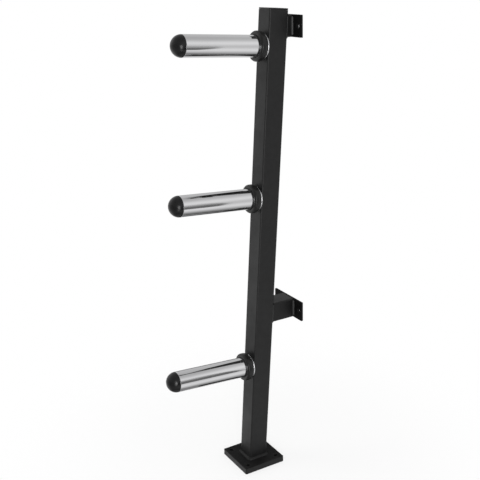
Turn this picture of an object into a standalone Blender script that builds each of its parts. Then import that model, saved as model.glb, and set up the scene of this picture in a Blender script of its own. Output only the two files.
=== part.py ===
"""Wall-mounted plate holder: a leaning square post with three chromed pegs.

Frame: metres, +Z up, the wall plates on the +Y side, the pegs reaching out towards -Y.
The origin is the middle of the floor plate's underside.
"""

import math

import bmesh
import bpy
from mathutils import Matrix

# Fits and clearances
TOUCH_GAP = 0.0003
SLIP_CLEARANCE = 0.0003
BOLT_HOLE_CLEARANCE = 0.0005

# Post: a square tube that leans back towards its wall plates
LEAN = math.radians(4.0)
POST_WIDTH = 0.050
POST_DEPTH = 0.050
POST_WALL = 0.003
POST_CORNER_RADIUS = 0.004
POST_TOP_MARGIN = 0.0135

# Pegs, by their places along the leaning post
BOTTOM_PEG_HEIGHT = 0.255
LOWER_PEG_SPACING = 0.437
UPPER_PEG_SPACING = 0.355
SLEEVE_RADIUS = 0.025
SLEEVE_WALL = 0.003
SLEEVE_LENGTH = 0.206
FLANGE_RIM = 0.005
FLANGE_THICKNESS = 0.003
FLANGE_EDGE = 0.0012
COLLAR_RIM = 0.0095
COLLAR_LENGTH = 0.0185
COLLAR_FRONT_ROUND = 0.005
COLLAR_BACK_ROUND = 0.0075
BOSS_LENGTH = 0.020
CAP_STEM = 0.020
CAP_STEM_WALL = 0.0025

# Bolt that draws each peg onto the post from behind
BOLT_RADIUS = 0.006
BOLT_ENGAGEMENT = 0.016
BOLT_TIP_CHAMFER = 0.001
BOLT_HEAD_OVERHANG = 0.0045
BOLT_HEAD_HEIGHT = 0.0066
BOLT_HEAD_RIM = 0.0012
BOLT_SOCKET_RADIUS = 0.0046
BOLT_SOCKET_DEPTH = 0.004
WASHER_OVERHANG = 0.0015
WASHER_THICKNESS = 0.0025

# Insert that closes the top of the post
PLUG_FLANGE = 0.004
PLUG_EDGE = 0.0012
PLUG_STEM = 0.022
PLUG_STEM_WALL = 0.0025

# Floor plate
FLOOR_PLATE_MARGIN = 0.0325
FLOOR_PLATE_THICKNESS = 0.015
FLOOR_PLATE_CORNER_RADIUS = 0.003
FLOOR_PLATE_EDGE = 0.0012
FLOOR_HOLE_INSET = 0.0155
FLOOR_HOLE_RADIUS = 0.0045
FOOT_WELD_LEG = 0.005

# Wall brackets: a level stub of the post's tube, as high as the wall plate that it carries
WALL_PLATE_WIDTH = 0.120
WALL_PLATE_HEIGHT = 0.050
WALL_PLATE_THICKNESS = 0.005
WALL_PLATE_CORNER_RADIUS = 0.0015
WALL_HOLE_INSET = 0.0125
WALL_HOLE_RADIUS = 0.005
BRACKET_WELD_LEG = 0.004
BRACKET_WELD_SPACE = 0.0018
TOP_BOLT_CLEARANCE = 0.0053
LOWER_BRACKET_RISE = 0.1434

# How fine the round shapes are
TURNED_STEPS = 36
SMALL_STEPS = 20
DOME_STEPS = 6
CORNER_STEPS = 3
BEAD_STEPS = 3
BEAD_FULLNESS = 1.5
SMOOTH_ANGLE = math.radians(35.0)

# Pegs and brackets place each other along the post, and the post ends above them
PEG_HEIGHTS = {
    "top": BOTTOM_PEG_HEIGHT + LOWER_PEG_SPACING + UPPER_PEG_SPACING,
    "middle": BOTTOM_PEG_HEIGHT + LOWER_PEG_SPACING,
    "bottom": BOTTOM_PEG_HEIGHT,
}
BOLT_HEAD_RADIUS = BOLT_RADIUS + BOLT_HEAD_OVERHANG
WASHER_RADIUS = BOLT_HEAD_RADIUS + WASHER_OVERHANG
FLOOR_PLATE_WIDTH = POST_WIDTH + 2 * FLOOR_PLATE_MARGIN
FLOOR_PLATE_DEPTH = POST_DEPTH + 2 * FLOOR_PLATE_MARGIN


def back_face_z(along):
    """World height of the post's back face at a place along the post."""
    return FLOOR_PLATE_THICKNESS - POST_DEPTH / 2 * math.sin(LEAN) + along * math.cos(LEAN)


def along_post(z):
    """Place along the post where its back face is at a world height."""
    return (z - FLOOR_PLATE_THICKNESS + POST_DEPTH / 2 * math.sin(LEAN)) / math.cos(LEAN)


def back_face_y(z):
    """World Y of the post's back face at a world height."""
    return POST_DEPTH / 2 * math.cos(LEAN) + along_post(z) * math.sin(LEAN)


TOP_BOLT_ROOM = WASHER_RADIUS + TOP_BOLT_CLEARANCE + BRACKET_WELD_LEG
BRACKET_HEIGHTS = {
    "upper": back_face_z(PEG_HEIGHTS["top"]) + TOP_BOLT_ROOM + WALL_PLATE_HEIGHT / 2,
    "lower": back_face_z(PEG_HEIGHTS["bottom"]) + LOWER_BRACKET_RISE,
}
UPPER_PLATE_TOP = BRACKET_HEIGHTS["upper"] + WALL_PLATE_HEIGHT / 2
POST_HEIGHT = along_post(UPPER_PLATE_TOP + POST_TOP_MARGIN)
# The lean leaves the least room at the top of the upper stub, which holds two beads
SHORTEST_STUB = 2 * BRACKET_WELD_LEG + BRACKET_WELD_SPACE
WALL_DISTANCE = back_face_y(UPPER_PLATE_TOP) + SHORTEST_STUB + WALL_PLATE_THICKNESS
# Cutters run this far past what they cut
OVERCUT = POST_DEPTH


def clear_objects():
    for old in list(bpy.data.objects):
        bpy.data.objects.remove(old, do_unlink=True)


def new_collection(name):
    collection = bpy.data.collections.new(name)
    bpy.context.scene.collection.children.link(collection)
    return collection


def make_material(name, colour, roughness, metallic):
    material = bpy.data.materials.new(name)
    material.use_nodes = True
    shader = material.node_tree.nodes["Principled BSDF"]
    shader.inputs["Base Color"].default_value = (*colour, 1.0)
    shader.inputs["Roughness"].default_value = roughness
    shader.inputs["Metallic"].default_value = metallic
    return material


clear_objects()
part_collection = new_collection("plate_holder")
cutter_collection = new_collection("cutters")

powder_coat = make_material("powder_coat", (0.022, 0.022, 0.023), 0.5, 0.0)
chrome = make_material("chrome", (0.80, 0.80, 0.81), 0.08, 1.0)
collar_rubber = make_material("collar_rubber", (0.012, 0.012, 0.012), 0.35, 0.0)
cap_plastic = make_material("cap_plastic", (0.014, 0.014, 0.015), 0.4, 0.0)
zinc_steel = make_material("zinc_steel", (0.55, 0.56, 0.58), 0.35, 1.0)


def make_frame(name, location, rotation=(0.0, 0.0, 0.0), parent=None):
    """An empty that pieces are placed in."""
    frame = bpy.data.objects.new(name, None)
    frame.location = location
    frame.rotation_euler = rotation
    frame.parent = parent
    part_collection.objects.link(frame)
    return frame


def add_piece(name, mesh, material, parent=None, location=(0.0, 0.0, 0.0)):
    piece = bpy.data.objects.new(name, mesh)
    piece.location = location
    piece.parent = parent
    mesh.materials.append(material)
    part_collection.objects.link(piece)
    return piece


def add_cutter(name, mesh, parent=None, location=(0.0, 0.0, 0.0)):
    cutter = bpy.data.objects.new(name, mesh)
    cutter.location = location
    cutter.parent = parent
    cutter.hide_render = True
    cutter.display_type = "WIRE"
    cutter_collection.objects.link(cutter)
    return cutter


def combine(piece, cutter, operation="DIFFERENCE"):
    modifier = piece.modifiers.new(cutter.name, "BOOLEAN")
    modifier.operation = operation
    modifier.solver = "EXACT"
    modifier.object = cutter


def mesh_from(name, bm):
    mesh = bpy.data.meshes.new(name)
    bm.to_mesh(mesh)
    bm.free()
    return mesh


def bar_mesh(name, size_x, size_y, low, high, radius=0.0, edge=0.0):
    """A bar along local Z, its long edges rounded and the edge round its top bevelled."""
    bm = bmesh.new()
    bmesh.ops.create_cube(bm, size=1.0)
    bmesh.ops.scale(bm, vec=(size_x, size_y, high - low), verts=bm.verts)
    middle = (low + high) / 2
    bmesh.ops.translate(bm, vec=(0.0, 0.0, middle), verts=bm.verts)
    if radius > 0.0:
        long_edges = [e for e in bm.edges if (e.verts[0].co.z > middle) != (e.verts[1].co.z > middle)]
        bmesh.ops.bevel(bm, geom=long_edges, offset=radius, offset_type="OFFSET",
                        segments=CORNER_STEPS, profile=0.5, affect="EDGES")
    if edge > 0.0:
        top_edges = [e for e in bm.edges if min(v.co.z for v in e.verts) > middle]
        bmesh.ops.bevel(bm, geom=top_edges, offset=edge, offset_type="OFFSET",
                        segments=2, profile=0.5, affect="EDGES")
    return mesh_from(name, bm)


def cylinder_mesh(name, radius, low, high, steps):
    """A cylinder along local Z."""
    bm = bmesh.new()
    bmesh.ops.create_cone(bm, cap_ends=True, segments=steps, radius1=radius, radius2=radius,
                          depth=high - low)
    bmesh.ops.translate(bm, vec=(0.0, 0.0, (low + high) / 2), verts=bm.verts)
    return mesh_from(name, bm)


def arc_points(centre_r, centre_z, radius, start, stop, steps):
    """Points on an arc in a turned profile, with angles in degrees from straight outwards."""
    points = []
    for i in range(steps + 1):
        angle = math.radians(start + (stop - start) * i / steps)
        points.append((centre_r + radius * math.cos(angle), centre_z + radius * math.sin(angle)))
    return points


def ring_profile(inner, outer, low, high):
    return [(outer, high), (outer, low), (inner, low), (inner, high)]


def turned_piece(name, profile, material, parent, steps, closed=True):
    """A profile of (radius, height) points, outer side first and downwards, turned about Z."""
    bm = bmesh.new()
    verts = [bm.verts.new((r, 0.0, z)) for r, z in profile]
    for first, second in zip(verts, verts[1:]):
        bm.edges.new((first, second))
    if closed:
        bm.edges.new((verts[-1], verts[0]))
    piece = add_piece(name, mesh_from(name, bm), material, parent)
    screw = piece.modifiers.new("turn", "SCREW")
    screw.steps = steps
    screw.render_steps = steps
    screw.use_merge_vertices = True
    screw.merge_threshold = 0.00001
    return piece


def shade_round(piece):
    """Keep what the modifiers made, with round faces smooth and real edges sharp."""
    bpy.context.view_layer.update()
    evaluated = piece.evaluated_get(bpy.context.evaluated_depsgraph_get())
    mesh = bpy.data.meshes.new_from_object(evaluated)
    mesh.name = piece.name
    piece.modifiers.clear()
    piece.data = mesh
    mesh.shade_smooth()
    mesh.set_sharp_from_angle(angle=SMOOTH_ANGLE)


# The post stands in a frame that leans about the middle of its foot
lean_frame = make_frame("lean_frame", (0.0, 0.0, FLOOR_PLATE_THICKNESS), (-LEAN, 0.0, 0.0))
# Turns local Z to -Y, so that a piece's Z runs out from a wall plate's back or the post's front
OUT_OF_WALL = (math.radians(90.0), 0.0, 0.0)


def post_envelope(name, clearance):
    """A cutter with the post's outer shape, grown by a clearance."""
    mesh = bar_mesh(name, POST_WIDTH + 2 * clearance, POST_DEPTH + 2 * clearance,
                    -OVERCUT, POST_HEIGHT + OVERCUT, POST_CORNER_RADIUS + clearance)
    return add_cutter(name, mesh, lean_frame)


def make_post():
    top = POST_HEIGHT - PLUG_FLANGE - TOUCH_GAP
    mesh = bar_mesh("post_tube", POST_WIDTH, POST_DEPTH, -OVERCUT, top, POST_CORNER_RADIUS)
    post = add_piece("post_tube", mesh, powder_coat, lean_frame)
    bore = bar_mesh("post_bore", POST_WIDTH - 2 * POST_WALL, POST_DEPTH - 2 * POST_WALL,
                    -2 * OVERCUT, top + OVERCUT, POST_CORNER_RADIUS - POST_WALL)
    combine(post, add_cutter("post_bore", bore, lean_frame))
    # The foot is sawn level, to stand flat on the floor plate
    ground = bar_mesh("post_foot_cut", POST_WIDTH + 2 * OVERCUT, POST_DEPTH + 2 * OVERCUT,
                      -3 * OVERCUT, FLOOR_PLATE_THICKNESS + TOUCH_GAP)
    combine(post, add_cutter("post_foot_cut", ground))
    for peg, height in PEG_HEIGHTS.items():
        name = peg + "_bolt_hole"
        hole = cylinder_mesh(name, BOLT_RADIUS + BOLT_HOLE_CLEARANCE, -OVERCUT,
                             POST_DEPTH + OVERCUT, SMALL_STEPS)
        cutter = add_cutter(name, hole, lean_frame, (0.0, POST_DEPTH / 2, height))
        cutter.rotation_euler = OUT_OF_WALL
        combine(post, cutter)


def make_top_plug():
    low = POST_HEIGHT - PLUG_FLANGE
    stem_end = low - PLUG_STEM
    mesh = bar_mesh("post_top_plug", POST_WIDTH, POST_DEPTH, low, POST_HEIGHT, POST_CORNER_RADIUS,
                    PLUG_EDGE)
    plug = add_piece("post_top_plug", mesh, cap_plastic, lean_frame)
    stem_x = POST_WIDTH - 2 * (POST_WALL + SLIP_CLEARANCE)
    stem_y = POST_DEPTH - 2 * (POST_WALL + SLIP_CLEARANCE)
    stem = bar_mesh("plug_stem", stem_x, stem_y, stem_end, low + PLUG_FLANGE / 2,
                    POST_CORNER_RADIUS - POST_WALL)
    combine(plug, add_cutter("plug_stem", stem, lean_frame), "UNION")
    hollow = bar_mesh("plug_hollow", stem_x - 2 * PLUG_STEM_WALL, stem_y - 2 * PLUG_STEM_WALL,
                      stem_end - OVERCUT, low)
    combine(plug, add_cutter("plug_hollow", hollow, lean_frame))


def make_floor_plate():
    mesh = bar_mesh("floor_plate", FLOOR_PLATE_WIDTH, FLOOR_PLATE_DEPTH, 0.0,
                    FLOOR_PLATE_THICKNESS, FLOOR_PLATE_CORNER_RADIUS, FLOOR_PLATE_EDGE)
    plate = add_piece("floor_plate", mesh, powder_coat)
    across = FLOOR_PLATE_WIDTH / 2 - FLOOR_HOLE_INSET
    along = FLOOR_PLATE_DEPTH / 2 - FLOOR_HOLE_INSET
    for i, (x, y) in enumerate([(-across, -along), (across, -along), (-across, along), (across, along)]):
        name = "floor_hole_%d" % (i + 1)
        hole = cylinder_mesh(name, FLOOR_HOLE_RADIUS, -OVERCUT, OVERCUT, SMALL_STEPS)
        combine(plate, add_cutter(name, hole, location=(x, y, 0.0)))


def bead_points(leg):
    """Reach and rise of a fillet bead's face, from its toe on the plate up to the tube."""
    points = []
    for i in range(BEAD_STEPS + 1):
        angle = math.radians(90.0 * i / BEAD_STEPS)
        points.append((leg * math.cos(angle) ** BEAD_FULLNESS, leg * math.sin(angle) ** BEAD_FULLNESS))
    return points


def bead_blank(name, size_x, size_y, radius, leg, root=0.0):
    """A mound whose sides are a fillet bead's face. Its tube is cut out of it afterwards."""
    bm = bmesh.new()
    bmesh.ops.create_grid(bm, x_segments=1, y_segments=1, size=0.5)
    bmesh.ops.scale(bm, vec=(size_x + 2 * leg, size_y + 2 * leg, 1.0), verts=bm.verts)
    bmesh.ops.bevel(bm, geom=bm.verts[:], offset=radius + leg, offset_type="OFFSET",
                    segments=CORNER_STEPS + 1, profile=0.5, affect="VERTICES")
    bmesh.ops.translate(bm, vec=(0.0, 0.0, -root), verts=bm.verts)
    levels = bead_points(leg)
    if root > 0.0:
        levels.insert(0, (leg, 0.0))
    reach, level = leg, -root
    for i, (next_reach, next_level) in enumerate(levels[1:]):
        top = max(bm.faces, key=lambda face: face.calc_center_median().z)
        grown = bmesh.ops.extrude_face_region(bm, geom=[top])
        moved = [item for item in grown["geom"] if isinstance(item, bmesh.types.BMVert)]
        if i > 0:
            bmesh.ops.delete(bm, geom=[top], context="FACES_ONLY")
        bmesh.ops.translate(bm, vec=(0.0, 0.0, next_level - level), verts=moved)
        shrink = ((size_x + 2 * next_reach) / (size_x + 2 * reach),
                  (size_y + 2 * next_reach) / (size_y + 2 * reach), 1.0)
        bmesh.ops.scale(bm, vec=shrink, verts=moved)
        reach, level = next_reach, next_level
    bmesh.ops.recalc_face_normals(bm, faces=bm.faces[:])
    return mesh_from(name, bm)


def make_foot_weld():
    mesh = bead_blank("foot_weld", POST_WIDTH, POST_DEPTH / math.cos(LEAN), POST_CORNER_RADIUS,
                      FOOT_WELD_LEG)
    weld = add_piece("foot_weld", mesh, powder_coat,
                     location=(0.0, 0.0, FLOOR_PLATE_THICKNESS + TOUCH_GAP))
    combine(weld, post_envelope("foot_weld_bore", TOUCH_GAP))


def make_bracket(side, height):
    # Local Z runs from the wall plate's back to the post, local Y up
    frame = make_frame(side + "_bracket", (0.0, WALL_DISTANCE, height), OUT_OF_WALL)
    # Far enough to end inside the post, whose lean then trims the stub's end
    reach = WALL_DISTANCE - back_face_y(height) + POST_DEPTH / 2
    make_wall_plate(side, frame)
    make_stub(side, frame, reach)
    make_plate_welds(side, frame)
    make_post_weld(side, frame, height, reach)


def make_wall_plate(side, frame):
    name = side + "_wall_plate"
    mesh = bar_mesh(name, WALL_PLATE_WIDTH, WALL_PLATE_HEIGHT, 0.0, WALL_PLATE_THICKNESS,
                    WALL_PLATE_CORNER_RADIUS)
    plate = add_piece(name, mesh, powder_coat, frame)
    across = WALL_PLATE_WIDTH / 2 - WALL_HOLE_INSET
    for word, x in (("left", -across), ("right", across)):
        name = "%s_%s_wall_hole" % (side, word)
        hole = cylinder_mesh(name, WALL_HOLE_RADIUS, -OVERCUT, OVERCUT, SMALL_STEPS)
        combine(plate, add_cutter(name, hole, frame, (x, 0.0, 0.0)))


def make_stub(side, frame, reach):
    name = side + "_stub_tube"
    near = WALL_PLATE_THICKNESS + TOUCH_GAP
    mesh = bar_mesh(name, POST_WIDTH, WALL_PLATE_HEIGHT, near, reach, POST_CORNER_RADIUS)
    stub = add_piece(name, mesh, powder_coat, frame)
    bore = bar_mesh(side + "_stub_bore", POST_WIDTH - 2 * POST_WALL,
                    WALL_PLATE_HEIGHT - 2 * POST_WALL, near - OVERCUT, reach + OVERCUT,
                    POST_CORNER_RADIUS - POST_WALL)
    combine(stub, add_cutter(side + "_stub_bore", bore, frame))
    combine(stub, post_slab(side + "_stub_trim", TOUCH_GAP))


def post_slab(name, clearance):
    """A cutter between the planes of the post's front and back, wider than the post."""
    mesh = bar_mesh(name, POST_WIDTH + 2 * OVERCUT, POST_DEPTH + 2 * clearance, 0.0,
                    POST_HEIGHT + OVERCUT)
    return add_cutter(name, mesh, lean_frame)


def make_post_weld(side, frame, height, reach):
    """The bead under the stub and up the grooves that the post's rounded edges leave there."""
    name = side + "_post_weld"
    mesh = bead_blank(name, POST_WIDTH - 2 * BRACKET_WELD_LEG, WALL_PLATE_HEIGHT / math.cos(LEAN),
                      POST_CORNER_RADIUS, BRACKET_WELD_LEG, POST_CORNER_RADIUS)
    # Turns the mound's Z to +Y, out of the post's back
    mesh.transform(Matrix.Rotation(math.radians(-90.0), 4, "X"))
    weld = add_piece(name, mesh, powder_coat, lean_frame,
                     (0.0, POST_DEPTH / 2, along_post(height)))
    combine(weld, post_envelope(side + "_post_weld_seat", TOUCH_GAP))
    # The stub's own room, which ends at the plane of the post's back
    core = bar_mesh(side + "_post_weld_core", POST_WIDTH + 2 * TOUCH_GAP,
                    WALL_PLATE_HEIGHT + 2 * TOUCH_GAP, 0.0, reach, POST_CORNER_RADIUS + TOUCH_GAP)
    core_cutter = add_cutter(side + "_post_weld_core", core, frame)
    combine(core_cutter, post_slab(side + "_post_weld_floor", 0.0))
    combine(weld, core_cutter)
    # The bead stops where the stub's top corners begin
    stop = bar_mesh(side + "_post_weld_stop", POST_WIDTH + 2 * OVERCUT, OVERCUT, 0.0,
                    reach + OVERCUT)
    stop_y = WALL_PLATE_HEIGHT / 2 - POST_CORNER_RADIUS + OVERCUT / 2
    combine(weld, add_cutter(side + "_post_weld_stop", stop, frame, (0.0, stop_y, 0.0)))


def make_plate_welds(side, frame):
    """Upright beads in the corners between the stub's sides and the wall plate."""
    for word, hand in (("left", -1), ("right", 1)):
        name = "%s_plate_weld_%s" % (side, word)
        outline = [(TOUCH_GAP, TOUCH_GAP)]
        for out, rise in bead_points(BRACKET_WELD_LEG):
            outline.append((max(out, TOUCH_GAP), max(rise, TOUCH_GAP)))
        curve = bpy.data.curves.new(name, "CURVE")
        curve.dimensions = "2D"
        curve.fill_mode = "BOTH"
        curve.extrude = WALL_PLATE_HEIGHT / 2 - POST_CORNER_RADIUS
        spline = curve.splines.new("POLY")
        spline.points.add(len(outline) - 1)
        for point, (out, rise) in zip(spline.points, outline):
            point.co = (hand * out, -rise, 0.0, 1.0)
        spline.use_cyclic_u = True
        # The outline's -Y runs out of the plate, its Z up the plate
        bead = add_piece(name, curve, powder_coat, frame,
                         (hand * POST_WIDTH / 2, 0.0, WALL_PLATE_THICKNESS))
        bead.rotation_euler = (math.radians(-90.0), 0.0, 0.0)


def make_peg(peg, height):
    # Local Z runs out along the peg from the post's front face
    frame = make_frame(peg + "_peg", (0.0, -POST_DEPTH / 2, height), OUT_OF_WALL, lean_frame)
    sleeve_bore = SLEEVE_RADIUS - SLEEVE_WALL
    flange_front = TOUCH_GAP + FLANGE_THICKNESS

    sleeve = turned_piece(peg + "_peg_sleeve",
                          ring_profile(sleeve_bore, SLEEVE_RADIUS, TOUCH_GAP, SLEEVE_LENGTH),
                          chrome, frame, TURNED_STEPS)
    flange = turned_piece(peg + "_peg_flange", flange_profile(flange_front),
                          chrome, frame, TURNED_STEPS)
    boss = turned_piece(peg + "_peg_boss",
                        ring_profile(BOLT_RADIUS + SLIP_CLEARANCE, sleeve_bore - SLIP_CLEARANCE,
                                     TOUCH_GAP, TOUCH_GAP + BOSS_LENGTH),
                        zinc_steel, frame, SMALL_STEPS)
    collar = turned_piece(peg + "_peg_collar", collar_profile(flange_front + TOUCH_GAP),
                          collar_rubber, frame, TURNED_STEPS)
    cap = turned_piece(peg + "_peg_end_cap", cap_profile(sleeve_bore - SLIP_CLEARANCE),
                       cap_plastic, frame, TURNED_STEPS, closed=False)

    washer_front = -POST_DEPTH - TOUCH_GAP
    washer_back = washer_front - WASHER_THICKNESS
    washer = turned_piece(peg + "_peg_washer",
                          ring_profile(BOLT_RADIUS + BOLT_HOLE_CLEARANCE, WASHER_RADIUS,
                                       washer_back, washer_front),
                          zinc_steel, frame, SMALL_STEPS)
    bolt = make_bolt(peg, frame, washer_back - TOUCH_GAP)
    for piece in (sleeve, flange, boss, collar, cap, washer, bolt):
        shade_round(piece)


def flange_profile(front):
    """The chromed ring at the sleeve's root, its front edge softened."""
    bore = SLEEVE_RADIUS + SLIP_CLEARANCE
    rim = SLEEVE_RADIUS + FLANGE_RIM
    profile = arc_points(rim - FLANGE_EDGE, front - FLANGE_EDGE, FLANGE_EDGE, 90.0, 0.0, 2)
    return profile + [(rim, TOUCH_GAP), (bore, TOUCH_GAP), (bore, front)]


def collar_profile(back):
    """The rubber stop that the first plate rests against, well rounded towards the post."""
    bore = SLEEVE_RADIUS + SLIP_CLEARANCE
    rim = SLEEVE_RADIUS + COLLAR_RIM
    front = back + COLLAR_LENGTH
    profile = arc_points(rim - COLLAR_FRONT_ROUND, front - COLLAR_FRONT_ROUND,
                         COLLAR_FRONT_ROUND, 90.0, 0.0, 4)
    profile += arc_points(rim - COLLAR_BACK_ROUND, back + COLLAR_BACK_ROUND,
                          COLLAR_BACK_ROUND, 0.0, -90.0, 5)
    return profile + [(bore, back), (bore, front)]


def cap_profile(stem_radius):
    """A dome as wide as the sleeve, on a hollow stem that is pressed into the sleeve."""
    shoulder = SLEEVE_LENGTH + TOUCH_GAP
    stem_end = shoulder - CAP_STEM
    hollow = stem_radius - CAP_STEM_WALL
    profile = arc_points(0.0, shoulder, SLEEVE_RADIUS, 90.0, 0.0, DOME_STEPS)
    profile += [(stem_radius, shoulder), (stem_radius, stem_end), (hollow, stem_end)]
    profile += arc_points(0.0, shoulder, hollow, 0.0, 90.0, DOME_STEPS - 2)
    return profile


def make_bolt(peg, frame, seat):
    """A button-head bolt: its head sits behind the post and its thread ends in the boss."""
    tip = TOUCH_GAP + BOLT_ENGAGEMENT
    crown = seat - BOLT_HEAD_HEIGHT
    profile = [(0.0, tip), (BOLT_RADIUS - BOLT_TIP_CHAMFER, tip)]
    profile += [(BOLT_RADIUS, tip - BOLT_TIP_CHAMFER), (BOLT_RADIUS, seat)]
    profile += [(BOLT_HEAD_RADIUS, seat)]
    # The head's dome is an arc through its rim and its crown
    dome = BOLT_HEAD_HEIGHT - BOLT_HEAD_RIM
    dome_radius = (BOLT_HEAD_RADIUS ** 2 + dome ** 2) / (2 * dome)
    sweep = math.degrees(math.asin(BOLT_HEAD_RADIUS / dome_radius))
    profile += arc_points(0.0, crown + dome_radius, dome_radius, sweep - 90.0, -90.0, 4)
    bolt = turned_piece(peg + "_peg_bolt", profile, zinc_steel, frame, SMALL_STEPS, closed=False)
    socket = cylinder_mesh(peg + "_bolt_socket", BOLT_SOCKET_RADIUS, crown - OVERCUT,
                           crown + BOLT_SOCKET_DEPTH, 6)
    combine(bolt, add_cutter(peg + "_bolt_socket", socket, frame))
    return bolt


make_post()
make_top_plug()
make_floor_plate()
make_foot_weld()
for bracket_side, bracket_height in BRACKET_HEIGHTS.items():
    make_bracket(bracket_side, bracket_height)
for peg_name, peg_height in PEG_HEIGHTS.items():
    make_peg(peg_name, peg_height)
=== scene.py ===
# Plate holder: a leaning post with three chromed pegs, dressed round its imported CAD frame.
# Metres, +Z up, the wall plates on the +Y side, the pegs reaching out towards -Y.
import math

import bmesh
import bpy
from mathutils import Matrix, Vector


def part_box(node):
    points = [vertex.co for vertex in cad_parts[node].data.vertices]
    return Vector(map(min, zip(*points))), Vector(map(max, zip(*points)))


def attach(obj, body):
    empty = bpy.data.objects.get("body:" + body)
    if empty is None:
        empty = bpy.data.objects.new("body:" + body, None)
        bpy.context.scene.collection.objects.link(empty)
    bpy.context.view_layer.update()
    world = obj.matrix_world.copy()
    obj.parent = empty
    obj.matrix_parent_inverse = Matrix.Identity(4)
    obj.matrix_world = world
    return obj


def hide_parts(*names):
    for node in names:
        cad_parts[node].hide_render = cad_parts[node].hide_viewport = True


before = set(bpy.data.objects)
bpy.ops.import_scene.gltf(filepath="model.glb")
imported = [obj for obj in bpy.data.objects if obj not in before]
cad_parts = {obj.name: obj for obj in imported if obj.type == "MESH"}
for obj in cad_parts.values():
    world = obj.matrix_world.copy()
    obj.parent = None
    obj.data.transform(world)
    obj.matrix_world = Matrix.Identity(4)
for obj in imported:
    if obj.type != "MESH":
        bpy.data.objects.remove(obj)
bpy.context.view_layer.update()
print("frame: %d CAD nodes loaded" % len(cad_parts))

scene = bpy.context.scene
scene.view_settings.view_transform = "Standard"


def addObject(name, data):
    thing = bpy.data.objects.new(name, data)
    scene.collection.objects.link(thing)
    return thing


# Camera

cameraView = {
    "place": (1.6233, -0.9750, 1.2385),
    "azimuth": 59.6447,  # degrees, from looking along +Y round towards -X
    "elevation": 18.4659,  # degrees down
    "roll": 1.4767,
    "lens": 61.95,  # millimetres, as the sensor is
    "sensor": 36.0,
    "rise": 0.0007,  # share of the picture's width
    "near": 0.05,
    "far": 50.0,
}


def makeCamera():
    view = cameraView
    azimuth, elevation = math.radians(view["azimuth"]), math.radians(view["elevation"])
    roll = math.radians(view["roll"])
    look = Vector((-math.sin(azimuth) * math.cos(elevation),
                   math.cos(azimuth) * math.cos(elevation), -math.sin(elevation)))
    level = Vector((math.cos(azimuth), math.sin(azimuth), 0.0))
    upright = level.cross(look)
    right = level * math.cos(roll) - upright * math.sin(roll)
    up = level * math.sin(roll) + upright * math.cos(roll)
    turn = Matrix((right, up, -look)).transposed().to_4x4()
    data = bpy.data.cameras.new("photoCamera")
    data.sensor_width = view["sensor"]
    data.lens = view["lens"]
    data.shift_y = view["rise"]
    data.clip_start = view["near"]
    data.clip_end = view["far"]
    camera = addObject("photoCamera", data)
    camera.matrix_world = Matrix.Translation(view["place"]) @ turn
    scene.camera = camera


makeCamera()
print("camera: set to the photo's angle")


# Node helpers

def feed(tree, value, socket):
    # Links a socket into another, or sets a plain value there. Colours come without their alpha.
    if isinstance(value, bpy.types.NodeSocket):
        tree.links.new(value, socket)
    elif socket.type == "RGBA":
        socket.default_value = (*value, 1.0)
    else:
        socket.default_value = value


def feedAll(tree, node, inputs):
    for name, value in inputs.items():
        feed(tree, value, node.inputs[name])


def addNode(tree, kind, inputs=None, **settings):
    node = tree.nodes.new("ShaderNode" + kind)
    for name, value in settings.items():
        setattr(node, name, value)
    feedAll(tree, node, inputs or {})
    return node


def addMath(tree, operation, *values, clamp=False):
    return addNode(tree, "Math", dict(enumerate(values)), operation=operation,
                   use_clamp=clamp).outputs[0]


def vectorMath(tree, operation, *values):
    return addNode(tree, "VectorMath", dict(enumerate(values)), operation=operation)


def mapRange(tree, value, before=(0.0, 1.0), after=(0.0, 1.0), **settings):
    limits = {"From Min": before[0], "From Max": before[1], "To Min": after[0], "To Max": after[1]}
    return addNode(tree, "MapRange", {"Value": value, **limits}, **settings).outputs["Result"]


def mixColours(tree, factor, first, second):
    return addNode(tree, "Mix", {"Factor": factor, "A": first, "B": second},
                   data_type="RGBA").outputs["Result"]


def addNoise(tree, place, inputs):
    return addNode(tree, "TexNoise", {"Vector": place, "Scale": 1.0, **inputs}).outputs[0]


def addBump(tree, height, depth, strength):
    return addNode(tree, "Bump", {"Height": height, "Distance": depth,
                                  "Strength": strength}).outputs[0]


def scaledPlace(tree, cells):
    # Object coordinates, with so many cells to the metre
    place = addNode(tree, "TexCoord").outputs["Object"]
    return addNode(tree, "VectorMath", {0: place, "Scale": cells}, operation="SCALE").outputs[0]


def frontOnly(tree):
    # 1 on the front of a face, 0 on its back
    surface = addNode(tree, "NewGeometry")
    return addMath(tree, "SUBTRACT", 1.0, surface.outputs["Backfacing"])


def startGroup(name, inputs, outputs):
    tree = bpy.data.node_groups.new(name, "ShaderNodeTree")
    for label, value in inputs.items():
        socket = tree.interface.new_socket(label, in_out="INPUT", socket_type="NodeSocketFloat")
        socket.default_value = value
    for label in outputs:
        tree.interface.new_socket(label, in_out="OUTPUT", socket_type="NodeSocketFloat")
    return tree, tree.nodes.new("NodeGroupInput"), tree.nodes.new("NodeGroupOutput")


def useGroup(tree, group, values):
    return addNode(tree, "Group", values, node_tree=group)


# Effects that several finishes share

grainLook = {
    "pits": 0.4,  # how far the grains' cells are sunk, for a grain of 1
    "swell": 1.5,  # the broader unevenness, for a grain of 1
    "mottle": (0.36, 0.64),  # the noise that counts as least and most
}


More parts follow.
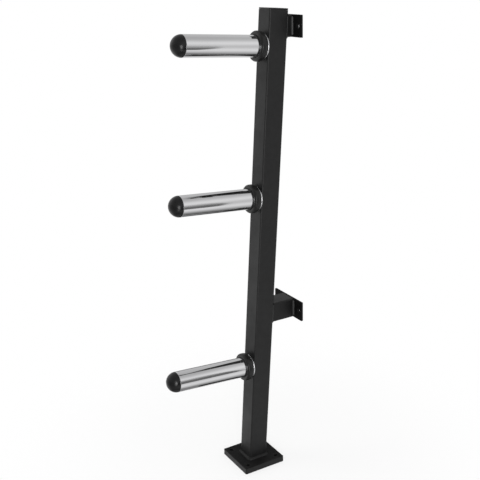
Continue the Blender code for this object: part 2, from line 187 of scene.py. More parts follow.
def makeFineGrain():
    # Small raised grains of a sprayed or moulded skin, with a broader unevenness under them
    look = grainLook
    tree, enter, leave = startGroup("fineGrain", {"Grains": 900.0, "Waves": 60.0},
                                    ("Height", "Mottle"))
    place = scaledPlace(tree, enter.outputs["Grains"])
    fine = addNoise(tree, place, {"Detail": 3.0, "Roughness": 0.6})
    cells = addNode(tree, "TexVoronoi", {"Vector": place, "Scale": 1.0}, feature="SMOOTH_F1")
    wave = addNoise(tree, scaledPlace(tree, enter.outputs["Waves"]), {"Detail": 2.0})
    grain = addMath(tree, "SUBTRACT", fine,
                    addMath(tree, "MULTIPLY", cells.outputs["Distance"], look["pits"]))
    height = addMath(tree, "ADD", grain, addMath(tree, "MULTIPLY", wave, look["swell"]))
    mottle = addMath(tree, "ADD", addMath(tree, "MULTIPLY", fine, 0.5),
                     addMath(tree, "MULTIPLY", wave, 0.5))
    feedAll(tree, leave, {"Height": height, "Mottle": mapRange(tree, mottle, look["mottle"])})
    return tree


rubAndHighlightLook = {
    "samples": 4,
    "patches": 160.0,  # to the metre
    "unevenness": (0.3, 1.7),  # the lightening's share where the patches are least and most
}


def makeEdgeRubAndHighlight():
    # 1 on outer edges, broken up, 0 on flats: lighter edges, partly rubbed wear and partly painted
    #                                          highlight
    look = rubAndHighlightLook
    tree, enter, leave = startGroup("edgeRubAndHighlight", {"Reach": 0.0015, "Strength": 3.0}, ("Mask",))
    rounded = addNode(tree, "Bevel", {"Radius": enter.outputs["Reach"]}, samples=look["samples"])
    surface = addNode(tree, "NewGeometry")
    agree = vectorMath(tree, "DOT_PRODUCT", rounded.outputs[0], surface.outputs["Normal"])
    differ = addMath(tree, "SUBTRACT", 1.0, agree.outputs["Value"])
    patches = addNoise(tree, scaledPlace(tree, look["patches"]), {"Detail": 4.0})
    broken = addMath(tree, "MULTIPLY", differ, mapRange(tree, patches, after=look["unevenness"]))
    mask = addMath(tree, "MULTIPLY", broken, enter.outputs["Strength"], clamp=True)
    feed(tree, mask, leave.inputs["Mask"])
    return tree


dustLook = {
    "facing": (0.35, 1.0),  # how much a face looks up where dust starts and is complete
    "patches": (0.3, 0.75),  # the noise that counts as least and most
}


def makeSettledDust():
    # Thin dust on what faces up
    look = dustLook
    tree, enter, leave = startGroup("settledDust", {"Amount": 0.3, "Patches": 45.0}, ("Mask",))
    surface = addNode(tree, "NewGeometry")
    parts = addNode(tree, "SeparateXYZ", {0: surface.outputs["Normal"]})
    facing = mapRange(tree, parts.outputs["Z"], look["facing"])
    patches = addNoise(tree, scaledPlace(tree, enter.outputs["Patches"]),
                       {"Detail": 5.0, "Roughness": 0.7})
    dust = addMath(tree, "MULTIPLY", facing, mapRange(tree, patches, look["patches"]))
    mask = addMath(tree, "MULTIPLY", dust, enter.outputs["Amount"], clamp=True)
    feed(tree, mask, leave.inputs["Mask"])
    return tree


handlingLook = {"smears": (0.35, 0.68)}  # the noise that counts as least and most


def makeHandling():
    # Soft smears where hands and plates have been, for the gloss
    tree, enter, leave = startGroup("handling", {"Smears": 14.0, "Stretch": 1.0}, ("Mask",))
    place = addNode(tree, "TexCoord").outputs["Object"]
    squeeze = addNode(tree, "CombineXYZ", {"X": 1.0, "Y": enter.outputs["Stretch"], "Z": 1.0})
    drawn = vectorMath(tree, "MULTIPLY", place, squeeze.outputs[0])
    smear = addNoise(tree, drawn.outputs[0], {"Scale": enter.outputs["Smears"], "Detail": 4.0,
                                              "Roughness": 0.6, "Distortion": 0.6})
    feed(tree, mapRange(tree, smear, handlingLook["smears"]), leave.inputs["Mask"])
    return tree


fineGrain = makeFineGrain()
edgeRubAndHighlight = makeEdgeRubAndHighlight()
settledDust = makeSettledDust()
handling = makeHandling()
print("effects: grain, edge rub, dust and handling groups made")


# Finishes

lean = math.radians(4.0)  # how far the post leans back, and the pegs tip up


def startFinish(name):
    material = bpy.data.materials.new(name)
    material.use_nodes = True
    return material, material.node_tree


def fillShader(tree, inputs):
    feedAll(tree, tree.nodes["Principled BSDF"], inputs)


def makeSkin(name, look):
    # A grained, mottled skin, with lighter edges (partly rubbed wear, partly painted highlight) and
    # dust where its look has them
    material, tree = startFinish(name)
    grain = useGroup(tree, fineGrain, look["grain"])
    colour = mixColours(tree, grain.outputs["Mottle"], *look["mottle"])
    for group, effect in ((edgeRubAndHighlight, "rubAndHighlight"), (settledDust, "dust")):
        if effect in look:
            tint, values = look[effect]
            mask = useGroup(tree, group, values)
            colour = mixColours(tree, mask.outputs["Mask"], colour, tint)
    hands = useGroup(tree, handling, look["hands"])
    fillShader(tree, {
        "Base Color": colour,
        "Metallic": look.get("metallic", 0.0),
        "Specular IOR Level": look.get("specular", 0.5),
        "Roughness": mapRange(tree, hands.outputs["Mask"], after=look["gloss"]),
        "Normal": addBump(tree, grain.outputs["Height"], look["depth"], look["bump"]),
    })
    return material


powderCoatLook = {
    "mottle": ((0.0035, 0.0035, 0.0036), (0.0070, 0.0070, 0.0072)),
    # Lighter edges: partly rubbed wear, partly painted highlight on the rounded corners
    "rubAndHighlight": ((0.018, 0.018, 0.018), {"Reach": 0.0016, "Strength": 2.4}),
    "dust": ((0.10, 0.097, 0.093), {"Amount": 0.05, "Patches": 60.0}),
    "hands": {"Smears": 11.0, "Stretch": 0.6},
    "specular": 0.38,
    "gloss": (0.44, 0.56),  # roughness, least and most
    "grain": {"Grains": 850.0, "Waves": 95.0},  # to the metre, as the patches are
    "depth": 0.00010,
    "bump": 0.6,
}
# Lit and shaded copies of the one powder coat. The foot and the stubs get less sheen than the
# post, as painted shade
shadedCoatLook = dict(powderCoatLook, specular=0.31)
# Painted shade near the wall: the wall plates get a darker colour and the least sheen of all
wallPlateShadedCoatLook = dict(powderCoatLook, specular=0.12, gloss=(0.55, 0.68),
                         mottle=((0.0025, 0.0025, 0.0026), (0.0050, 0.0050, 0.0051)))
# Painted highlight: the brackets' beads get more sheen than the post
beadLitCoatLook = dict(powderCoatLook, specular=0.62, gloss=(0.40, 0.52))

powderCoat = makeSkin("satinPowderCoat", powderCoatLook)
shadedCoat = makeSkin("shadedPowderCoat", shadedCoatLook)
wallPlateShadedCoat = makeSkin("wallPlateShadedPowderCoat", wallPlateShadedCoatLook)
beadLitCoat = makeSkin("beadLitPowderCoat", beadLitCoatLook)

rubberLook = {
    "mottle": ((0.0045, 0.0045, 0.0045), (0.0080, 0.0080, 0.0080)),
    "rubAndHighlight": ((0.035, 0.035, 0.035), {"Reach": 0.0020, "Strength": 1.4}),
    "dust": ((0.17, 0.165, 0.155), {"Amount": 0.07, "Patches": 120.0}),
    "hands": {"Smears": 30.0, "Stretch": 1.0},
    "specular": 0.33,
    "gloss": (0.28, 0.40),
    "grain": {"Grains": 1400.0, "Waves": 140.0},
    "depth": 0.00005,
    "bump": 0.5,
}
rubber = makeSkin("collarRubber", rubberLook)

plasticLook = {
    "mottle": ((0.0045, 0.0045, 0.0047), (0.0075, 0.0075, 0.0078)),
    "dust": ((0.16, 0.155, 0.15), {"Amount": 0.04, "Patches": 150.0}),
    "hands": {"Smears": 34.0, "Stretch": 1.0},
    "specular": 0.30,
    "gloss": (0.18, 0.28),
    "grain": {"Grains": 1800.0, "Waves": 120.0},
    "depth": 0.00003,
    "bump": 0.5,
}
plastic = makeSkin("mouldedPlastic", plasticLook)

zincLook = {
    "mottle": ((0.52, 0.54, 0.57), (0.60, 0.585, 0.545)),
    "rubAndHighlight": ((0.68, 0.68, 0.68), {"Reach": 0.0008, "Strength": 2.0}),
    "hands": {"Smears": 60.0, "Stretch": 1.0},
    "metallic": 1.0,
    "gloss": (0.24, 0.42),
    "grain": {"Grains": 2200.0, "Waves": 200.0},
    "depth": 0.00002,
    "bump": 0.4,
}
zinc = makeSkin("zincPlate", zincLook)

chromeLook = {
    "clean": (0.80, 0.80, 0.81),
    "hazed": (0.74, 0.74, 0.755),
    "gloss": (0.035, 0.10),
    "hands": {"Smears": 26.0, "Stretch": 0.25},
    "lines": (900.0, 14.0, 900.0),  # to the metre, across, along and across the pegs
    "lineHaze": (0.2, 1.0),  # the haze's share between the lines and on them
    "depth": 0.00001,
    "bump": 0.5,
}


def makeChrome(name, look):
    material, tree = startFinish(name)
    hands = useGroup(tree, handling, look["hands"])
    # Fine lines along the pegs, from plates that were slid on and off
    place = addNode(tree, "TexCoord").outputs["Object"]
    along = addNode(tree, "Mapping", {"Vector": place, "Rotation": (lean, 0.0, 0.0),
                                      "Scale": look["lines"]})
    lines = addNoise(tree, along.outputs[0], {"Detail": 3.0})
    haze = addMath(tree, "MULTIPLY", hands.outputs["Mask"],
                   mapRange(tree, lines, after=look["lineHaze"]))
    fillShader(tree, {
        "Base Color": mixColours(tree, haze, look["clean"], look["hazed"]),
        "Metallic": 1.0,
        "Roughness": mapRange(tree, haze, after=look["gloss"]),
        "Normal": addBump(tree, lines, look["depth"], look["bump"]),
    })
    return material


chrome = makeChrome("chromePlate", chromeLook)
print("finishes: powder coats, rubber, plastic, zinc and chrome made")


# Mesh helpers

seam = 0.0003  # the CAD model's gap between pieces that touch


def roundedOutline(width, depth, radius, steps):
    # Counter-clockwise from the right side's lower end
    points = []
    for turn, (sideX, sideY) in enumerate([(1, -1), (1, 1), (-1, 1), (-1, -1)]):
        middleX = sideX * (width / 2 - radius)
        middleY = sideY * (depth / 2 - radius)
        for i in range(steps + 1):
            angle = math.radians(90.0 * (turn - 1 + i / steps))
            points.append((middleX + radius * math.cos(angle), middleY + radius * math.sin(angle)))
    return points


def arcPoints(centreR, centreZ, radius, start, stop, steps):
    # Points on an arc of a turned profile, with angles in degrees from straight outwards
    points = []
    for i in range(steps + 1):
        angle = math.radians(start + (stop - start) * i / steps)
        points.append((centreR + radius * math.cos(angle), centreZ + radius * math.sin(angle)))
    return points


def addRing(bm, points, place):
    return [bm.verts.new(place @ Vector(point)) for point in points]


def skinRings(bm, rings, wrap=False):
    # Faces between closed rings, where a ring of one vertex is a pole
    pairs = list(zip(rings, rings[1:]))
    if wrap:
        pairs.append((rings[-1], rings[0]))
    for first, second in pairs:
        count = max(len(first), len(second))
        for i in range(count):
            j = (i + 1) % count
            corners = [first[i % len(first)], first[j % len(first)],
                       second[j % len(second)], second[i % len(second)]]
            bm.faces.new(list(dict.fromkeys(corners)))


def skinSolid(bm, rings):
    # The first and the last ring are closed as well
    skinRings(bm, rings)
    bm.faces.new(rings[0])
    bm.faces.new(rings[-1])


def turnedMesh(profile, steps, place, closed=True):
    # A profile of (radius, height) points turned about Z
    bm = bmesh.new()
    rings = []
    for radius, height in profile:
        if radius < 1e-6:
            rings.append(addRing(bm, [(0.0, 0.0, height)], place))
            continue
        circle = [(radius * math.cos(math.tau * i / steps), radius * math.sin(math.tau * i / steps),
                   height) for i in range(steps)]
        rings.append(addRing(bm, circle, place))
    skinRings(bm, rings, wrap=closed)
    return bm


def toObject(name, bm):
    bmesh.ops.recalc_face_normals(bm, faces=bm.faces[:])
    mesh = bpy.data.meshes.new(name)
    bm.to_mesh(mesh)
    bm.free()
    return addObject(name, mesh)


def drill(piece, cutters):
    # Cuts the cutters out of the piece and clears them away
    for cutter in cutters:
        cut = piece.modifiers.new(cutter.name, "BOOLEAN")
        cut.operation = "DIFFERENCE"
        cut.solver = "EXACT"
        cut.object = cutter
    bpy.context.view_layer.update()
    drilled = bpy.data.meshes.new_from_object(
        piece.evaluated_get(bpy.context.evaluated_depsgraph_get()))
    piece.modifiers.clear()
    piece.data = drilled
    for cutter in cutters:
        bpy.data.objects.remove(cutter)


sharpFrom = 32.0  # degrees between faces


def dress(piece, node, material):
    # Smooth on round faces, sharp on real edges, and standing for its CAD node
    mesh = piece.data
    mesh.materials.clear()
    mesh.materials.append(material)
    mesh.shade_smooth()
    mesh.set_sharp_from_angle(angle=math.radians(sharpFrom))
    even = piece.modifiers.new("evenNormals", "WEIGHTED_NORMAL")
    even.keep_sharp = True
    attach(piece, "root")
    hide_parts(node)


drillShape = {
    "steps": 40,
    "past": 0.004,  # how far a drill starts before its hole and ends after it
}


def drillHoles(piece, shape, depth, places):
    # From 0 to the depth along the Z of each place, with mouths countersunk by the flare
    radius, flare, past = shape["holeRadius"], shape["holeFlare"], drillShape["past"]
    mouth = radius + flare + past
    profile = [(0.0, -past), (mouth, -past), (radius, flare), (radius, depth - flare),
               (mouth, depth + past), (0.0, depth + past)]
    drill(piece, [toObject("%sHole%d" % (piece.name, i),
                           turnedMesh(profile, drillShape["steps"], place, closed=False))
                  for i, place in enumerate(places)])


def tubeMesh(outer, inner, nearEnd, farEnd, place):
    # The ends say where a point of the outlines comes to lie
    bm = bmesh.new()
    rings = []
    for outline, end in ((outer, nearEnd), (outer, farEnd), (inner, farEnd), (inner, nearEnd)):
        rings.append(addRing(bm, [end(*point) for point in outline], place))
    skinRings(bm, rings, wrap=True)
    return bm


# Places that the CAD frame gives

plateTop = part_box("floor_plate")[1].z
leanFrame = Matrix.Translation((0.0, 0.0, plateTop)) @ Matrix.Rotation(-lean, 4, "X")
leanUp = leanFrame.to_3x3() @ Vector((0.0, 0.0, 1.0))
outOfWall = Matrix.Rotation(math.radians(90.0), 4, "X")  # local Z becomes -Y


def pegHeight(peg):
    low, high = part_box(peg + "_peg_sleeve")
    return (leanFrame.inverted() @ ((low + high) / 2)).z


pegHeights = {peg: pegHeight(peg) for peg in ("top", "middle", "bottom")}


# Post and its top plug

postShape = {
    "width": 0.050,
    "wall": 0.003,
    "corner": 0.004,
    "length": 1.1320,
    "cornerSteps": 8,
    "holeRadius": 0.0065,
    "holeFlare": 0.0002,
}

plugShape = {
    "flange": 0.004,
    "edge": 0.0012,
    "edgeSteps": 6,
    "crown": ((0.012, 0.0), (0.004, 0.0001)),  # inset from the sides, drop from the top
    "rimDrop": 0.0003,
    "leastCorner": 0.0004,
    "stem": 0.022,
    "stemWall": 0.0025,
    "stemCorner": 0.001,
}


def makePost():
    shape = postShape
    top = shape["length"] - plugShape["flange"] - seam
    width, wall, steps = shape["width"], shape["wall"], shape["cornerSteps"]
    outer = roundedOutline(width, width, shape["corner"], steps)
    inner = roundedOutline(width - 2 * wall, width - 2 * wall, shape["corner"] - wall, steps)

    def atFoot(x, y):
        # The saw cut is level, the tube leans
        return x, y, (seam + y * math.sin(lean)) / math.cos(lean)

    def atTop(x, y):
        return x, y, top

    post = toObject("postTube", tubeMesh(outer, inner, atFoot, atTop, leanFrame))
    drillHoles(post, shape, width,
               [leanFrame @ Matrix.Translation((0.0, width / 2, height)) @ outOfWall
                for height in pegHeights.values()])
    dress(post, "post_tube", powderCoat)


def makePostPlug():
    shape = plugShape
    width, steps = postShape["width"], postShape["cornerSteps"]
    top = postShape["length"]
    low, stemEnd = top - shape["flange"], top - shape["flange"] - shape["stem"]
    edge, rimTop = shape["edge"], top - shape["rimDrop"]
    stem = width - 2 * (postShape["wall"] + seam)

    def ring(inset, z, base=width, corner=postShape["corner"]):
        outline = roundedOutline(base - 2 * inset, base - 2 * inset,
                                 max(corner - inset, shape["leastCorner"]), steps)
        return addRing(bm, [(x, y, z) for x, y in outline], leanFrame)

    # From the crowned top down over the rounded rim, in to the stem and up its hollow
    bm = bmesh.new()
    rings = [ring(inset, top - drop) for inset, drop in shape["crown"]]
    for i in range(shape["edgeSteps"] + 1):
        angle = math.radians(90.0 * i / shape["edgeSteps"])
        rings.append(ring(edge * (1 - math.sin(angle)), rimTop - edge * (1 - math.cos(angle))))
    rings.append(ring(shape["rimDrop"], low))
    for inset, z in ((0.0, low), (0.0, stemEnd), (shape["stemWall"], stemEnd),
                     (shape["stemWall"], low)):
        rings.append(ring(inset, z, stem, shape["stemCorner"]))
    skinSolid(bm, rings)
    plug = toObject("postTopPlug", bm)
    dress(plug, "post_top_plug", plastic)


makePost()
makePostPlug()
print("post: tube and top plug built")


# Plates

plateSteps = {"edge": 4, "corner": 6}


def plateMesh(width, depth, corner, thickness, edge, place, bothEdges=True):
    # A flat plate on local Z 0..thickness, its upper edge rounded and its lower one if asked
    levels = []
    for i in range(plateSteps["edge"] + 1):
        angle = math.radians(90.0 * i / plateSteps["edge"])
        levels.append((edge * (1 - math.cos(angle)), thickness - edge * (1 - math.sin(angle))))
    if bothEdges:
        levels = [(inset, thickness - rise) for inset, rise in reversed(levels)] + levels
    else:
        levels.insert(0, (0.0, 0.0))
    bm = bmesh.new()
    rings = []
    for inset, rise in levels:
        outline = roundedOutline(width - 2 * inset, depth - 2 * inset, corner - inset,
                                 plateSteps["corner"])
        rings.append(addRing(bm, [(x, y, rise) for x, y in outline], place))
    skinSolid(bm, rings)
    return bm


floorPlateShape = {
    "width": 0.115,
    "corner": 0.003,
    "edge": 0.0012,
    "holeInset": 0.0155,
    "holeRadius": 0.0045,
    "holeFlare": 0.0005,
}


def makeFloorPlate():
    shape = floorPlateShape
    width = shape["width"]
    bm = plateMesh(width, width, shape["corner"], plateTop, shape["edge"], Matrix.Identity(4),
                   bothEdges=False)
    plate = toObject("floorPlate", bm)
    across = width / 2 - shape["holeInset"]
    drillHoles(plate, shape, plateTop, [Matrix.Translation((x, y, 0.0))
                                        for x in (-across, across) for y in (-across, across)])
    dress(plate, "floor_plate", shadedCoat)


makeFloorPlate()


# Weld beads

beadShape = {
    "footLeg": 0.005,
    "bracketLeg": 0.004,
    "pitch": 0.0026,  # from ripple to ripple
    "ripple": 0.045,  # share of the leg
    "lag": 0.30,  # share of the pitch
    "sway": 0.05,
    "swayWaves": ((310.0, 0.0, 0.6), (127.0, 1.3, 0.4)),  # how often, from where, how much
    "endRound": 0.9,  # share of the leg
    "endSize": 0.55,
    "fullness": 1.55,
    "stepsPerRipple": 6,
    "profileSteps": 7,
    "cornerSteps": 12,
}


def beadProfile(leg):
    # Reach and rise of the bead's face, from its toe up to its top
    points = []
    for i in range(beadShape["profileSteps"] + 1):
        angle = math.radians(90.0 * i / beadShape["profileSteps"])
        points.append((leg * math.cos(angle) ** beadShape["fullness"],
                       leg * math.sin(angle) ** beadShape["fullness"]))
    return points


def rippleAt(run, rise):
    # Crescent ripples that lag at the bead's middle, and a slow sway of the hand
    shape = beadShape
    lag = shape["lag"] * math.sin(math.pi * rise)
    wave = abs(math.sin(math.pi * (run / shape["pitch"] - lag)))
    sway = sum(much * math.sin(run * often + start) for often, start, much in shape["swayWaves"])
    return 1.0 + shape["ripple"] * (wave - 1.0) + shape["sway"] * (sway - 1.0) / 2


def walkPath(points, closed):
    # Evenly spaced stations along a polyline, with how far along each one is
    corners = [Vector(p) for p in points]
    if closed:
        corners.append(corners[0])
    lengths = [(b - a).length for a, b in zip(corners, corners[1:])]
    total = sum(lengths)
    ripples = total / beadShape["pitch"]
    if closed:
        ripples = round(ripples)
    count = round(ripples * beadShape["stepsPerRipple"])
    stations = []
    leg, passed = 0, 0.0
    for i in range(count if closed else count + 1):
        run = total * i / count
        while leg < len(lengths) - 1 and run > passed + lengths[leg]:
            passed += lengths[leg]
            leg += 1
        share = min(1.0, (run - passed) / lengths[leg])
        stations.append((corners[leg].lerp(corners[leg + 1], share), run))
    return stations, total


def sweepBeads(name, beads, closed=False):
    # Each bead is a row of sections, which are closed loops of points in the frame
    bm = bmesh.new()
    for sections in beads:
        rings = [addRing(bm, section, Matrix.Identity(4)) for section in sections]
        if closed:
            skinRings(bm, rings, wrap=True)
        else:
            skinSolid(bm, rings)
    return toObject(name, bm)


def endTaper(run, total, leg):
    # A bead starts and stops with a rounded end
    least = beadShape["endSize"]
    near = min(1.0, min(run, total - run) / (beadShape["endRound"] * leg))
    return least + (1.0 - least) * math.sqrt(max(0.0, 1 - (1 - near) ** 2))


def beadSection(root, out, up, leg, run, clear=0.0, taper=1.0):
    # The bead's root and its rippled face, which reaches out and up from there
    section = [root]
    for reach, rise in beadProfile(leg - clear):
        size = rippleAt(run, rise / leg) * taper
        section.append(root + out * reach * size + up * rise * size)
    return section


def makeFootWeld():
    leg = beadShape["footLeg"]
    width, corner = postShape["width"], postShape["corner"]
    deep = width / math.cos(lean)  # the level cut lengthens the leaning section
    seat = plateTop + seam
    outline = roundedOutline(width + 2 * seam, deep + 2 * seam, corner + seam,
                             beadShape["cornerSteps"])
    stations, total = walkPath([(x, y, seat) for x, y in outline], closed=True)
    rise = leanUp / leanUp.z
    coreX, coreY = width / 2 - corner, deep / 2 - corner
    # Whole ripples all the way round
    wholePitch = total / round(total / beadShape["pitch"])
    sections = []
    for place, run in stations:
        # The outward direction is away from the outline's straight core
        away = Vector((place.x - max(-coreX, min(coreX, place.x)),
                       place.y - max(-coreY, min(coreY, place.y)), 0.0)).normalized()
        sections.append(beadSection(place, away, rise, leg, run * beadShape["pitch"] / wholePitch))
    weld = sweepBeads("footWeld", [sections], closed=True)
    dress(weld, "foot_weld", shadedCoat)


makeFootWeld()
print("foot: floor plate and its weld built")


# Wall brackets

bracketShape = {
    "plateWidth": 0.120,
    "plateHeight": 0.050,
    "plateCorner": 0.0015,
    "plateEdge": 0.0005,
    "holeInset": 0.0125,
    "holeRadius": 0.005,
    "holeFlare": 0.0004,
    "stubWidth": 0.050,
    "stubWall": 0.003,
    "stubCorner": 0.004,
    "stubBoreCorner": 0.001,
    "cornerSteps": 8,
    "underReach": 0.35,  # how far the bead under the stub goes round its corners, as a share
    "grooveCrown": 0.0004,  # how far the beads in the post's grooves stand out
    "grooveStart": 0.02,  # share of half the stub's height
    "grooveArc": (21.5, 68.5, 4),  # where they lie on the post's edge, in degrees, and in steps
}


def backFaceY(z, clear=0.0):
    # World Y of the post's back face, a little off it, at a world height
    half = postShape["width"] / 2 + clear
    return (half + (z - plateTop) * math.sin(lean)) / math.cos(lean)


def makeWallPlate(side, place, thickness):
    shape = bracketShape
    bm = plateMesh(shape["plateWidth"], shape["plateHeight"], shape["plateCorner"], thickness,
                   shape["plateEdge"], place)
    plate = toObject(side + "WallPlate", bm)
    across = shape["plateWidth"] / 2 - shape["holeInset"]
    drillHoles(plate, shape, thickness, [place @ Matrix.Translation((x, 0.0, 0.0))
                                         for x in (-across, across)])
    dress(plate, side + "_wall_plate", wallPlateShadedCoat)


def makeStub(side, wallY, height, thickness):
    shape = bracketShape
    wall = shape["stubWall"]
    nearY = wallY - thickness - seam
    steps = shape["cornerSteps"]
    outer = roundedOutline(shape["stubWidth"], shape["plateHeight"], shape["stubCorner"], steps)
    inner = roundedOutline(shape["stubWidth"] - 2 * wall, shape["plateHeight"] - 2 * wall,
                           shape["stubBoreCorner"], steps)

    def atPlate(x, z):
        return x, nearY, height + z

    def atPost(x, z):
        return x, backFaceY(height + z, seam), height + z

    stub = toObject(side + "StubTube",
                    tubeMesh(outer, inner, atPlate, atPost, Matrix.Identity(4)))
    dress(stub, side + "_stub_tube", shadedCoat)


def makePlateWeld(side, word, hand, wallY, height, thickness):
    leg = beadShape["bracketLeg"]
    half = bracketShape["plateHeight"] / 2 - bracketShape["stubCorner"]
    cornerX = hand * (bracketShape["stubWidth"] / 2 + seam)
    cornerY = wallY - thickness - seam
    stations, total = walkPath([(cornerX, cornerY, height - half), (cornerX, cornerY, height + half)],
                               closed=False)
    out, up = Vector((hand, 0.0, 0.0)), Vector((0.0, -1.0, 0.0))
    sections = [beadSection(place, out, up, leg, run, seam, endTaper(run, total, leg))
                for place, run in stations]
    weld = sweepBeads("%sPlateWeld%s" % (side, word), [sections])
    dress(weld, "%s_plate_weld_%s" % (side, word.lower()), beadLitCoat)


def makeUnderBead(height):
    # The fillet under the stub, over the flat of the post's back and a little round its edges
    leg = beadShape["bracketLeg"]
    corner = bracketShape["stubCorner"]
    flat = bracketShape["stubWidth"] / 2 - corner
    end = flat + bracketShape["underReach"] * corner
    stations, total = walkPath([(-end, 0.0, 0.0), (end, 0.0, 0.0)], closed=False)
    down, up = Vector((0.0, -math.tan(lean), -1.0)), Vector((0.0, 1.0, 0.0))
    sections = []
    for place, run in stations:
        past = max(0.0, abs(place.x) - flat)
        drop = corner - math.sqrt(corner ** 2 - past ** 2)
        under = height - bracketShape["plateHeight"] / 2 - seam + drop
        root = Vector((place.x, backFaceY(under, seam) - drop, under))
        sections.append(beadSection(root, down, up, leg, run, seam, endTaper(run, total, leg)))
    return sections


def makeGrooveBead(hand, height):
    # Fills the groove between the stub's end and the post's rounded edge
    shape = bracketShape
    corner = postShape["corner"]
    side = postShape["width"] / 2
    reach = corner + seam
    inset = corner - math.sqrt(reach ** 2 - corner ** 2)
    half = shape["plateHeight"] / 2
    stations, total = walkPath([(0.0, 0.0, shape["grooveStart"] * half - half),
                                (0.0, 0.0, half - shape["stubCorner"])], closed=False)
    steps = beadShape["profileSteps"]
    sections = []
    for place, run in stations:
        crown = shape["grooveCrown"] * endTaper(run, total, beadShape["bracketLeg"])
        points = []
        for i in range(steps + 1):
            share = i / steps
            swell = (inset + crown * math.sin(math.pi * share)) * rippleAt(run, share)
            points.append((side - inset + swell, -inset * share))
        points += arcPoints(side - corner, -corner, reach, *shape["grooveArc"])[1:]
        z = height + place.z
        sections.append([Vector((hand * x, backFaceY(z) + deep / math.cos(lean), z))
                         for x, deep in points])
    return sections


def makePostWeld(side, height):
    beads = [makeUnderBead(height), makeGrooveBead(-1, height), makeGrooveBead(1, height)]
    weld = sweepBeads(side + "PostWeld", beads)
    dress(weld, side + "_post_weld", beadLitCoat)


def makeBracket(side):
    low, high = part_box(side + "_wall_plate")
    wallY, thickness, height = high.y, high.y - low.y, (low.z + high.z) / 2
    place = Matrix.Translation((0.0, wallY, height)) @ outOfWall
    makeWallPlate(side, place, thickness)
    makeStub(side, wallY, height, thickness)
    makePlateWeld(side, "Left", -1, wallY, height, thickness)
    makePlateWeld(side, "Right", 1, wallY, height, thickness)
    makePostWeld(side, height)


for side in ("upper", "lower"):
    makeBracket(side)
print("brackets: plates, stubs and welds built")


# Pegs, turned about local Z, which runs out from the post's front face

pegShape = {
    "sleeveRadius": 0.025,
    "sleeveWall": 0.003,
    "sleeveLength": 0.206,
    "sleeveParts": 4,
    "sleeveChamfer": 0.0005,
    "flangeRadius": 0.030,
    "flangeThickness": 0.003,
    "flangeEdge": 0.0012,
    "flangeEdgeSteps": 6,
    "bossLength": 0.020,
    "bossChamfer": 0.0008,
    "turnedSteps": 96,
    "bossSteps": 48,
}

collarShape = {
    "radius": 0.0345,
    "length": 0.0185,
    "frontRound": 0.005,
    "frontSteps": 10,
    "backRound": 0.0075,
    "backSteps": 8,
    "lip": 0.0012,  # the bore's front edge is softened by this
    "lipSteps": 5,
    "boreChamfer": 0.0004,
    "groove": 0.0004,
    "grooveAt": 0.46,  # share of the length, from the back
    "grooveFloor": 0.4,  # half the floor's width, as a share of the groove's depth
}

capShape = {
    "stem": 0.020,
    "stemWall": 0.0025,
    "stemChamfer": 0.0008,
    "rim": 0.0007,
    "domeFrom": 2.0,  # degrees from the rim
    "domeSteps": 20,
    "hollowSteps": 10,
}

boltShape = {
    "threadRadius": 0.006,
    "threadDepth": 0.0007,
    "pitch": 0.00175,
    "tip": 0.0163,
    "tipChamfer": 0.001,
    "plainTip": 0.002,
    "headRadius": 0.0105,
    "headHeight": 0.0066,
    "headRim": 0.0012,
    "headChamfer": 0.0004,
    "domeSteps": 12,
    "socketRadius": 0.0046,
    "socketDepth": 0.004,
    "socketPoint": 0.0012,
    "washerRadius": 0.012,
    "washerPlay": 0.0005,
    "washerThickness": 0.0025,
    "washerChamfer": 0.0004,
    "turnedSteps": 64,
}


def chamferedRing(outer, inner, back, front, cut):
    return [(outer, front - cut), (outer, back + cut), (outer - cut, back), (inner + cut, back),
            (inner, back + cut), (inner, front - cut), (inner + cut, front), (outer - cut, front)]


def makeSleeve(peg, place):
    shape = pegShape
    outer, inner = shape["sleeveRadius"], shape["sleeveRadius"] - shape["sleeveWall"]
    end, cut, parts = shape["sleeveLength"], shape["sleeveChamfer"], shape["sleeveParts"]
    profile = [(outer, seam)] + [(outer, end * i / parts) for i in range(1, parts)]
    profile += [(outer, end - cut), (outer - cut, end), (inner + cut, end), (inner, end - cut),
                (inner, seam)]
    sleeve = toObject(peg + "PegSleeve", turnedMesh(profile, shape["turnedSteps"], place))
    dress(sleeve, peg + "_peg_sleeve", chrome)


def makeFlange(peg, place):
    shape = pegShape
    bore = shape["sleeveRadius"] + seam
    rim, edge, steps = shape["flangeRadius"], shape["flangeEdge"], shape["flangeEdgeSteps"]
    back, front = seam, seam + shape["flangeThickness"]
    profile = arcPoints(rim - edge, front - edge, edge, 90.0, 0.0, steps)
    profile += arcPoints(rim - edge, back + edge, edge, 0.0, -90.0, steps)
    profile += [(bore, back), (bore, front)]
    flange = toObject(peg + "PegFlange", turnedMesh(profile, shape["turnedSteps"], place))
    dress(flange, peg + "_peg_flange", chrome)


def makeBoss(peg, place):
    shape = pegShape
    profile = chamferedRing(shape["sleeveRadius"] - shape["sleeveWall"] - seam,
                            boltShape["threadRadius"] + seam, seam, seam + shape["bossLength"],
                            shape["bossChamfer"])
    boss = toObject(peg + "PegBoss", turnedMesh(profile, shape["bossSteps"], place))
    dress(boss, peg + "_peg_boss", zinc)


